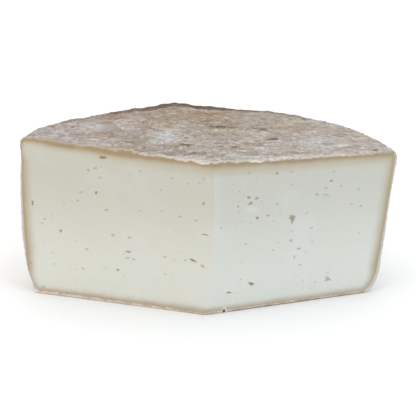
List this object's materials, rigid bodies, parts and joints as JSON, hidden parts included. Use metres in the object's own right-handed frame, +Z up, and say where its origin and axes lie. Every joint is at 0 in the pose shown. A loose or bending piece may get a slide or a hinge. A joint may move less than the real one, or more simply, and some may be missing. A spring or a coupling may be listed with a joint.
{
  "type": "cut cheese wheel",
  "caption": "Wide wedge of a firm natural-rind cheese wheel, with two flat cut faces, a rounded rind at the back and a flat base to stand on.",
  "frame": {"origin": "middle of the footprint's bounding box, on the base", "axes": "+Z up from the base, +X to the right along the widest chord, and the crease of the two cuts faces -Y"},
  "size_m": [0.2414, 0.1326, 0.1055],
  "materials": {
    "cheese": "ivory paste with a satin cut surface and small eyes, under a dry beige-brown mould rind"
  },
  "bodies": {
    "root": {"cut_cheese_wheel": "cheese"}
  },
  "joints": []
}
